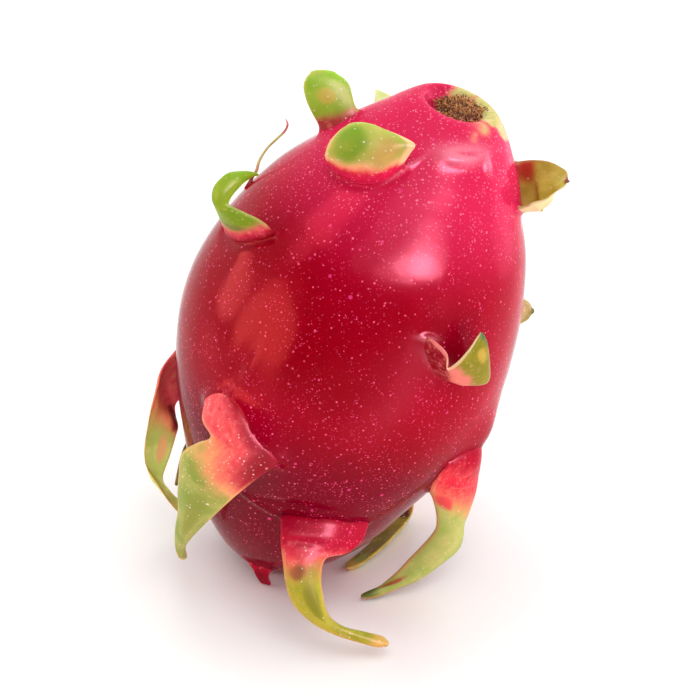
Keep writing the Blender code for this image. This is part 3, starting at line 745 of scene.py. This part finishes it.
# these follow a path of (around, height, how far off the skin)
pathScales = {
    "scale_back_upper_right": dict(
        path=[(148, 38, -3), (148, 42, 2.5), (149, 46, 6), (152, 50, 8), (156, 54, 8.5)],
        widths=(15, 14, 11, 7, 2.5), cup=(2.5, 0.5), thick=(3.0, 1.4), meet=4.0),
    "scale_back_left": dict(
        path=[(-146, 0, -3), (-146, 5, 2.5), (-145, 9.5, 5), (-143, 13.5, 6), (-140, 16.5, 5)],
        widths=(15, 13, 10, 6, 2.2), cup=(2.5, 0.4), thick=(3.0, 1.3), meet=4.0),
    "scale_back_middle": dict(
        path=[(176, 10, -3), (176, 5, 3), (175, -1, 7), (173, -8, 9), (170, -16, 9.5),
            (168, -22, 8)],
        widths=(17, 15, 13, 11, 7, 2.5), cup=(3.0, 0.5), thick=(3.6, 1.6), meet=5.0),
    "scale_back_lower_left": dict(
        path=[(-142, -16, -3), (-142, -20, 3), (-142, -27, 7), (-144, -35, 9), (-147, -43, 9),
            (-150, -49, 8)],
        widths=(15, 13, 10, 9, 6, 2.5), cup=(2.5, 0.4), thick=(3.6, 1.6), meet=5.0),
    "scale_back_leg": dict(
        path=[(140, -22, -3), (140, -26, 3), (140, -33, 8), (141, -40, 12), (143, -46, 14.5),
            (146, -51, 15.5)],
        widths=(17, 14, 11, 9.5, 7, 3), cup=(2.5, 0.4), thick=(4.0, 2.0), meet=5.0),
}

backPaint = paint(0.16, (226, 50, 74), 0.32, (238, 160, 100), 0.42, (190, 196, 90),
                  (150, 172, 68), 0.95, (190, 170, 80), (226, 184, 110), rimWidth=0.06,
                  spots=((0.62, -0.1, 0.16, 0.5, (134, 164, 60)),))


# colours that more than one piece uses

def makeSpeckGroup():
    tree, start, end = newGroup("specks", {"Place": "Vector", "Cell Size": 0.0015,
                                           "Dot Size": 0.2, "Share": 0.6}, {"Mask": "Float"})
    cells = addNode(tree, "ShaderNodeTexVoronoi", {
        "Vector": start["Place"], "Scale": calc("DIVIDE", 1.0, start["Cell Size"])}).outputs
    dice = addNode(tree, "ShaderNodeSeparateColor", {"Color": cells["Color"]}).outputs
    size = times(start["Dot Size"], scaled(dice[0], 0.75, 0.35))
    dot = spread(cells["Distance"], times(size, 0.55), size, 1.0, 0.0)
    here = calc("LESS_THAN", dice[1], start["Share"])
    fill(tree, end, {"Mask": times(dot, here, scaled(dice[2], 0.6, 0.4))})
    return tree


def placeSpecks(specks, place, kinds):
    # a kind is its cell size, its dot size and the share of the cells that have a dot
    return [placeGroup(place.id_data, specks, {"Place": place, "Cell Size": cell, "Dot Size": dot,
                                               "Share": share})["Mask"]
            for cell, dot, share in kinds]


rindFinish = {
    "specks": [(0.00055, 0.42, 0.6), (0.0012, 0.26, 0.72), (0.0038, 0.15, 0.7)],
    # (place, inner, outer) in millimetres: the stains beside the scar
    "stains": [((48.6, 2.0, 118.9), 3.0, 5.6), ((46.4, 6.5, 120.6), 3.0, 6.0),
               ((41.4, 11.6, 121.8), 1.2, 4.6), ((44.6, -3.4, 120.9), -2.4, 4.8),
               ((42.6, -6.6, 119.6), -3.0, 3.8)],
    "tones": {"Deep": tone(138, 0, 18), "Bright": tone(192, 2, 52), "Low": tone(98, 0, 26),
              "Top": tone(208, 34, 80), "Speck": tone(232, 78, 122), "Pale": tone(244, 150, 172),
              "Magenta": tone(222, 58, 120)},
    # where the colour turns, in metres: up along the fruit, for the painted top light and the
    # painted low shade, and towards its right side, for the painted light there
    "top": (0.094, 0.119), "low": (0.042, 0.066), "sunny": (0.020, 0.052),
    "bump": (0.35, 0.00008),
    "shader": {"Specular Tint": (1.0, 0.32, 0.48, 1.0), "Coat Weight": 0.08,
               "Coat Roughness": 0.16, "Specular IOR Level": 0.03},
}


def makeRindGroup(specks):
    tree, start, end = newGroup(
        "rindTone", {"Place": "Vector", "Painted Glint And Slit Shade": 0.0, **rindFinish["tones"]},
        {"Colour": "Color", "Roughness": "Float", "Height": "Float"})
    place, speck, pale = start["Place"], start["Speck"], start["Pale"]
    slow = noiseAt(place, 32.0)
    tilt = math.radians(fruit["lean"])
    up = vectorCalc("DOT_PRODUCT", place, (math.sin(tilt), 0.0, math.cos(tilt)))
    upper = spread(up, *rindFinish["top"])
    # painted light: the right side is painted lighter, as if lit by light bounced off the floor;
    # the slow noise mixed in is the skin's own uneven tone
    side = addNode(tree, "ShaderNodeSeparateXYZ", {"Vector": place}).outputs["X"]
    mottleAndLitSide = calc("ADD", times(spread(side, *rindFinish["sunny"]), 0.3),
                  spread(slow, 0.35, 0.75, 0.0, 0.25), clamp=True)
    skin = mixTone(mottleAndLitSide, start["Deep"], start["Bright"])
    # painted shade: the skin is painted darker low down, towards the floor
    skin = mixTone(spread(up, *rindFinish["low"], 0.75, 0.0), skin, start["Low"])
    # painted light: the top is painted lighter and pinker, for the overhead light and its sheen
    skin = mixTone(times(upper, 0.9), skin, start["Top"])

    small, middle, large = placeSpecks(specks, place, rindFinish["specks"])
    flock = spread(noiseAt(place, 130.0, 2.0, 0.6), 0.4, 0.64, 0.15, 1.0)
    crowd = calc("MAXIMUM", times(upper, 0.8), flock)
    skin = mixTone(times(crowd, 0.85, small), skin, mixTone(upper, speck, pale))
    skin = mixTone(middle, skin, mixTone(scaled(upper, 0.45, 0.1), speck, pale))
    skin = mixTone(times(large, 0.9), skin, start["Magenta"])

    cloud = noiseAt(place, 260.0, output="Color")
    wobble = vectorCalc("SCALE", vectorCalc("SUBTRACT", cloud, (0.5,) * 3), 0.005)
    loose = vectorCalc("ADD", place, wobble)
    stain = 0.0
    for spot, inner, outer in rindFinish["stains"]:
        stain = calc("MAXIMUM", stain, nearSpot(loose, spot, inner, outer))
    mottle = noiseAt(place, 900.0, 4.0, 0.65)
    cream = mixTone(spread(mottle, 0.38, 0.6), tone(180, 176, 100), tone(204, 188, 122))
    cream = mixTone(spread(mottle, 0.56, 0.7), cream, tone(222, 184, 140))
    skin = mixTone(spread(stain, 0.0, 0.5), skin, tone(222, 104, 104))
    skin = mixTone(spread(stain, 0.2, 0.9), skin, cream)
    skin = mixTone(times(middle, stain, 0.8), skin, tone(246, 232, 206))
    # painted highlights on ridges and lips, and painted shade in the slit where the value is below
    # 0
    skin = mixTone(start["Painted Glint And Slit Shade"], skin, tone(246, 160, 178))
    paintedSlitShade = times(start["Painted Glint And Slit Shade"], -1.0)
    skin = mixTone(paintedSlitShade, skin, tone(110, 0, 30))
    waxy = noiseAt(place, 1500.0, 2.0, 0.6)
    fill(tree, end, {"Colour": skin, "Roughness": scaled(slow, 0.08, 0.1),
                     "Height": plus(times(waxy, 0.8), times(middle, 0.6))})
    return tree


def makeSpotGroup():
    tree, start, end = newGroup(
        "leafSpot", {"Blade Share": 0.0, "Blade Across": 0.0, "Stir": 0.0, "Share": 0.5,
                     "Across": 0.0, "Long": 0.1, "Wide": 0.4}, {"Mask": "Float"})
    parts = []
    for spot, size, stir in (("Share", "Long", 0.4), ("Across", "Wide", 1.5)):
        own = scaled(start["Stir"], stir, start["Blade " + spot])
        gap = calc("ABSOLUTE", minus(own, start[spot]))
        parts.append(calc("POWER", calc("DIVIDE", gap, start[size]), 2.0))
    fill(tree, end, {"Mask": spread(plus(*parts), 0.15, 1.2, 0.9, 0.0)})
    return tree


# low is the red that a blade's root takes low down instead of the rind's painted shade: painted
# light on the lit roots
bladeFinish = {"specks": [(0.0010, 0.26, 0.7), (0.0030, 0.15, 0.6)], "low": tone(178, 4, 46),
               "bump": (0.35, 0.0003), "roughness": (0.42, 0.3),
               "shader": {"Coat Weight": 0.08, "Coat Roughness": 0.36, "Specular IOR Level": 0.03}}


def makeBladeGroup(specks, leafSpot):
    tree, start, end = newGroup("bladeTone", {"Place": "Vector", "Blade": "Vector", **backPaint},
                                {"Colour": "Color", "Skin": "Float", "Height": "Float"})
    place = start["Place"]
    share, across, face = addNode(tree, "ShaderNodeSeparateXYZ", {0: start["Blade"]}).outputs
    lanes = addNode(tree, "ShaderNodeCombineXYZ", {
        0: times(across, 2.6), 1: times(share, 5.0), 2: times(face, 0.6)})
    streak = noiseAt(lanes.outputs[0], 2.0, 3.0, 0.6)
    blotch = noiseAt(place, 150.0)
    grain = noiseAt(place, 650.0, 4.0, 0.65)
    stir = plus(scaled(streak, 0.16, -0.08), scaled(blotch, 0.14, -0.07))
    stir = times(stir, start["Ragged"])
    reach = plus(plus(share, stir), times(across, start["Slant"]))

    def before(limit, soft):
        low, high = minus(limit, soft), plus(limit, soft)
        return spread(reach, low, high, 1.0, 0.0)

    def streaked(low, high, most, colour):
        amount = times(spread(streak, low, high, 0.0, most), start["Streaks"])
        return mixTone(amount, colour, start["Band"])

    leaf = mixTone(spread(blotch, 0.38, 0.62), start["Leaf"], start["Deep"])
    leaf = streaked(0.5, 0.8, 0.5, leaf)
    leaf = mixTone(spread(grain, 0.45, 0.62, 0.0, 0.4), leaf, start["Deep"])
    leaf = mixTone(spread(grain, 0.58, 0.7, 0.0, 0.25), leaf, tone(216, 206, 140))
    coral = streaked(0.45, 0.75, 1.0, start["Coral"])
    coral = mixTone(spread(grain, 0.5, 0.66, 0.0, 0.35), coral, tone(242, 150, 140))
    coral = mixTone(spread(grain, 0.3, 0.44, 0.45, 0.0), coral, tone(190, 14, 44))
    colour = mixTone(before(start["Band End"], 0.07), leaf, start["Band"])
    colour = mixTone(before(start["Coral End"], 0.06), colour, coral)
    past = minus(1.0, before(start["Tip Start"], 0.03))
    colour = mixTone(past, colour, start["Tip"])
    for label in ("First ", "Second "):
        values = {key: start[label + key] for key in ("Share", "Across", "Long", "Wide")}
        spot = placeGroup(tree, leafSpot, {"Blade Share": share, "Blade Across": across,
                                           "Stir": stir, **values})["Mask"]
        amount = times(spot, start[label + "Strength"])
        colour = mixTone(amount, colour, start[label + "Spot"])
    # a pale rim along the edges: partly the edge's own colour, partly a painted glow of light
    # shining through the thin edge
    edge, rimTo = calc("ABSOLUTE", across), minus(1.0, start["Rim Width"])
    rim = spread(edge, minus(rimTo, 0.05), rimTo)
    rimShare = scaled(before(times(start["Coral End"], 0.8), 0.06), -0.55, 0.55)
    colour = mixTone(times(rim, rimShare), colour, start["Rim"])
    tornSide = spread(times(across, start["Torn"]), 0.78, 0.9)
    colour = mixTone(tornSide, colour, start["Rim"])
    dots = calc("MAXIMUM", *placeSpecks(specks, place, bladeFinish["specks"]))
    dots = calc("MULTIPLY", dots, start["Specks"], clamp=True)
    fill(tree, end, {"Colour": mixTone(times(dots, 0.8), colour, tone(240, 236, 214)),
                     "Skin": before(start["Skin End"], 0.05),
                     "Height": plus(times(streak, 0.7), times(grain, 0.5))})
    return tree


specks = makeSpeckGroup()
rindTone = makeRindGroup(specks)
bladeTone = makeBladeGroup(specks, makeSpotGroup())


def makeRindMaterial():
    material, tree = newMaterial("waxyRind")
    skin = placeGroup(tree, rindTone, {"Place": ownPlace(tree), "Painted Glint And Slit Shade": ownValue(tree, "pale")})
    setShader(tree, {"Base Color": skin["Colour"], "Roughness": skin["Roughness"],
                     **rindFinish["shader"]}, rindFinish["bump"], skin["Height"])
    return material


def makeBladeMaterial(name, values):
    material, tree = newMaterial(name)
    place = ownPlace(tree)
    # the blade's skin part is painted lighter low down than the rind, as painted light on its root
    skin = placeGroup(tree, rindTone, {"Place": place, "Low": bladeFinish["low"]})
    leaf = placeGroup(tree, bladeTone, {"Place": place, "Blade": ownValue(tree, "blade", "Vector"),
                                        **values})
    rough = spread(leaf["Skin"], 0.0, 1.0, *bladeFinish["roughness"])
    colour = mixTone(leaf["Skin"], leaf["Colour"], skin["Colour"])
    setShader(tree, {"Base Color": colour, "Roughness": rough, **bladeFinish["shader"]},
              bladeFinish["bump"], leaf["Height"])
    return material


# the rind and its scales

rind = makeRindBase(makeRindMaterial())
rindPoints = readPoints(rind.data)
rindNormals = vertexNormals(rind.data)
rindTree = BVHTree.FromPolygons([Vector(p) for p in rindPoints],
                                [tuple(p.vertices) for p in rind.data.polygons])
print("rind base:", len(rindPoints), "points")

pieces = []
for index, (node, scale) in enumerate([*scales.items(), *pathScales.items()]):
    stations = scale.get("stations") or pathStations(scale["path"], scale["widths"])
    stations = np.array(stations, float).reshape(-1, 2, 3)
    out = scale.get("out")
    if out is None:
        out = stations[1][0] + stations[1][1] - 2 * np.array(fruit["centre"])
    points, faces, info = bladeShape(stations, out, scale, index * blade["seedStep"])
    mesh = makeMesh(node, points, faces)
    pieces.append({"groove": 0.0, "paint": backPaint, "slot": "scale_green", **scale,
                   "node": node, "mesh": mesh, "points": points, "faces": faces, "info": info,
                   "normals": vertexNormals(mesh), "deepest": scale["thick"][0] / 2,
                   "outer": [info[f[0]][2] > 0 for f in faces]})
joined = joinToRind(rindPoints, rindNormals, rindTree, pieces)
joined[:, 2] = np.maximum(joined[:, 2], 0.0)
writePoints(rind.data, joined)
handOver(rind, "fruit_body")
for piece in pieces:
    mesh, points, node = piece["mesh"], piece["points"], piece["node"]
    points[:, 2] = np.maximum(points[:, 2], blade["endOffFloor"])
    writePoints(mesh, points)
    writeValues(mesh, "blade", piece["info"])
    first, *others = node.split("_")
    name = first + "".join(word.capitalize() for word in others)
    mesh.materials.append(makeBladeMaterial(name + "Finish", piece["paint"]))
    handOver(makePiece(name, mesh), node)
print("rind and scales:", len(pieces) + 1, "pieces")


# the dry fibres in the scar

scarFibres = {
    "mat": {"middle": (9.2, 4.8, 65.6), "size": (5.2, 5.0, 2.0), "rings": 22, "turns": 44,
            "lump": 0.35},
    "fibres": {"Density": 9.0, "Length": 1.0, "Width": 0.11, "Seed": 7}, "shadeSeed": 31,
    "bump": (0.8, 0.0004), "shader": {"Specular IOR Level": 0.2},
}


def randomValue(tree, kind, low, high, seed):
    keys = ("Min", "Max") if kind == "FLOAT_VECTOR" else (2, 3)
    item = addNode(tree, "FunctionNodeRandomValue", {keys[0]: low, keys[1]: high, "Seed": seed},
                   data_type=kind)
    return item.outputs[0 if kind == "FLOAT_VECTOR" else 1]


def fibreTree():
    # short bent fibres standing on a mat, each with its own shade
    tree, start, end = geometryGroup("scarFibres", {"Density": 5.0, "Length": 1.5, "Width": 0.08,
                                                    "Seed": 7})
    mat, seed = start["Geometry"], start["Seed"]
    dots = addNode(tree, "GeometryNodeDistributePointsOnFaces",
                   {"Mesh": mat, "Density": start["Density"], "Seed": seed}).outputs
    line = addNode(tree, "GeometryNodeCurveQuadraticBezier",
                   {"Resolution": 5, "Start": (0.0, 0.0, -0.15), "Middle": (0.1, 0.0, 0.5),
                    "End": (0.5, 0.1, 1.0)}).outputs[0]
    ringSize = calc("DIVIDE", start["Width"], start["Length"])
    ring = addNode(tree, "GeometryNodeCurvePrimitiveCircle",
                   {"Resolution": 4, "Radius": ringSize}).outputs[0]
    fibre = addNode(tree, "GeometryNodeCurveToMesh",
                    {"Curve": line, "Profile Curve": ring, "Fill Caps": True}).outputs[0]
    stand = addNode(tree, "FunctionNodeAlignRotationToVector", {"Vector": dots["Normal"]},
                    axis="Z").outputs[0]
    lean = randomValue(tree, "FLOAT_VECTOR", (-1.4, -1.4, -3.14), (1.4, 1.4, 3.14), seed)
    turned = addNode(tree, "FunctionNodeRotateRotation", {0: stand, 1: lean},
                     rotation_space="LOCAL").outputs[0]
    long = times(randomValue(tree, "FLOAT", 0.5, 1.3, seed), start["Length"])
    placed = addNode(tree, "GeometryNodeInstanceOnPoints",
                     {"Points": dots["Points"], "Instance": fibre, "Rotation": turned,
                      "Scale": long}).outputs[0]
    shade = randomValue(tree, "FLOAT", 0.0, 1.0, scarFibres["shadeSeed"])
    shaded = addNode(tree, "GeometryNodeStoreNamedAttribute",
                     {"Geometry": placed, "Name": "strand", "Value": shade},
                     data_type="FLOAT", domain="INSTANCE").outputs[0]
    both = tree.nodes.new("GeometryNodeJoinGeometry")
    for part in (shaded, mat):
        tree.links.new(part, both.inputs[0])
    return endTree(tree, both.outputs[0], start, end)


def makeFibreMaterial():
    material, tree = newMaterial("dryFibre")
    grain = noiseAt(ownPlace(tree), 900.0, 3.0, 0.6)
    pick = plus(times(ownValue(tree, "strand"), 0.75), times(grain, 0.3))
    colour = tone(62, 36, 12)
    for low, high, lighter in ((0.1, 0.5, (148, 96, 36)), (0.38, 0.7, (206, 150, 84)),
                             (0.8, 1.0, (238, 208, 164))):
        colour = mixTone(spread(pick, low, high), colour, tone(*lighter))
    rough = spread(grain, 0.0, 1.0, 0.75, 0.95)
    setShader(tree, {"Base Color": colour, "Roughness": rough, **scarFibres["shader"]},
              scarFibres["bump"], grain)
    return material


def lumpyBall(middle, size, rings, turns, lump):
    points = []
    for j in range(1, rings):
        down = math.pi * j / rings
        for i in range(turns):
            around = math.tau * i / turns
            spot = Vector((math.sin(down) * math.cos(around), math.sin(down) * math.sin(around),
                           math.cos(down)))
            swell = 1.0 + lump * noise.noise(spot * 3.0 + Vector((2.0, 0.0, 0.0)))
            points.append([middle[k] + spot[k] * size[k] * swell for k in range(3)])
    points += [[middle[0], middle[1], middle[2] + end * size[2]] for end in (1, -1)]
    return np.array(points), ringFaces(rings - 1, turns)


points, faces = lumpyBall(**scarFibres["mat"])
mat = makePiece("scarFibres", makeMesh("scarFibres", placeOnFruit(points), faces))
addTree(mat, fibreTree(), {**scarFibres["fibres"], "Finish": makeFibreMaterial()})
handOver(mat, "scar_plug")
print("scar fibres:", len(mat.data.polygons), "faces")


# floor, light and camera

studio = {"floor": 3.0, "floorAt": -0.00005, "target": (0.01494, 0.0, 0.05899),
          "distance": 0.62, "elevation": 33.0, "lens": 133.7, "sensor": 36.0,
          "floorShader": {"Base Color": (0.93, 0.925, 0.92, 1), "Roughness": 0.3,
                          "Specular IOR Level": 0.35},
          "world": 1.28, "dimTone": (0.05, 0.045, 0.045, 1.0), "dimWay": (-0.1, -0.93, 0.36)}

gleamTone, leftTone, highTone = (0.8, 0.38, 0.5), (1, 0.22, 0.16), (1, 0.16, 0.25)
plain = (1, 1, 1)
# name, azimuth from the front towards the right, elevation, distance, width, height, power,
# colour, roll, use
lamps = [("key", 20, 54, 1.0, 0.8, 0.55, 3.4, plain, 0, "fill"),
         ("keyGleam", 10, 48, 1.0, 0.9, 0.5, 4.0, plain, 0, "shine"),
         ("overhead", 0, 85, 0.9, 0.9, 0.9, 2.0, plain, 0, "both"),
         ("rightSide", 95, 12, 1.1, 0.8, 0.8, 3.0, plain, 0, "fill"),
         ("leftSide", -105, 18, 1.1, 0.8, 0.8, 3.0, plain, 0, "fill"),
         ("gleamWide", 29.2, 26.4, 1.12, 1.35, 0.44, 66.0, gleamTone, -32, "shine"),
         ("gleam", 27.8, 25.6, 1.1, 1.0, 0.36, 66.0, gleamTone, -32, "shine"),
         ("gleamCore", 26.5, 27.4, 1.08, 0.5, 0.24, 24.0, gleamTone, -32, "shine"),
         ("veilLow", -62, 9, 1.0, 0.8, 0.56, 28.0, leftTone, 0, "shine"),
         ("veilSide", -98, 11, 1.0, 0.4, 0.34, 7.0, (1, 0.22, 0.18), 0, "shine"),
         ("veilHigh", -70, 39, 1.0, 0.25, 0.25, 2.6, highTone, 0, "shine"),
         ("veilTop", -72, 52, 1.0, 0.5, 0.2, 6.0, highTone, 0, "shine"),
         ("rightCard", 118, 4, 0.32, 0.32, 0.24, 1.3, (1, 0.26, 0.46), 0, "shine")]


def addToScene(name, data, place, turn):
    item = bpy.data.objects.new(name, data)
    item.location, item.rotation_euler = place, turn
    bpy.context.scene.collection.objects.link(item)
    return item


def softLight(name, azimuth, elevation, distance, size, across, power, colour, roll, use):
    turn, rise = math.radians(azimuth), math.radians(elevation)
    way = Vector((math.sin(turn) * math.cos(rise), -math.cos(turn) * math.cos(rise),
                  math.sin(rise)))
    lamp = bpy.data.lights.new(name, "AREA")
    lamp.shape, lamp.size, lamp.size_y = "ELLIPSE", size, across
    lamp.energy, lamp.color = power, colour
    spin = Matrix.Rotation(math.radians(roll), 3, "Z")
    item = addToScene(name, lamp, Vector(studio["target"]) + way * distance,
                      (way.to_track_quat("Z", "Y").to_matrix() @ spin).to_euler())
    item.visible_camera = False
    item.visible_diffuse = use != "shine"
    item.visible_glossy = use != "fill"


def makeFloor():
    half = studio["floor"]
    corners = [(-half, -half, 0), (half, -half, 0), (half, half, 0), (-half, half, 0)]
    floor = makePiece("floor", makeMesh("floor", corners, [(0, 1, 2, 3)], smooth=False))
    floor.location.z = studio["floorAt"]
    material, tree = newMaterial("paleFloor")
    setShader(tree, studio["floorShader"])
    floor.data.materials.append(material)


def makeWorld():
    # white all round for the camera, with a dim front for what the fruit reflects
    world = bpy.data.worlds.new("studio")
    bpy.context.scene.world = world
    world.use_nodes = True
    tree = world.node_tree
    way = addNode(tree, "ShaderNodeTexCoord").outputs["Generated"]
    front = spread(vectorCalc("DOT_PRODUCT", way, studio["dimWay"]), 0.25, 0.8)
    camera = addNode(tree, "ShaderNodeLightPath").outputs["Is Camera Ray"]
    dim = times(front, minus(1.0, camera))
    colour = mixTone(dim, (1.0, 1.0, 1.0, 1.0), studio["dimTone"])
    fill(tree, tree.nodes["Background"].inputs, {"Color": colour, "Strength": studio["world"]})


def makeCamera():
    camera = bpy.data.cameras.new("camera")
    camera.lens, camera.sensor_width, camera.clip_start = studio["lens"], studio["sensor"], 0.01
    rise = math.radians(studio["elevation"])
    away = Vector((0, -math.cos(rise), math.sin(rise))) * studio["distance"]
    bpy.context.scene.camera = addToScene("camera", camera, Vector(studio["target"]) + away,
                                          (math.radians(90 - studio["elevation"]), 0, 0))
    bpy.context.scene.view_settings.view_transform = "Standard"


makeFloor()
makeWorld()
for lamp in lamps:
    softLight(*lamp)
makeCamera()
print("studio ready")
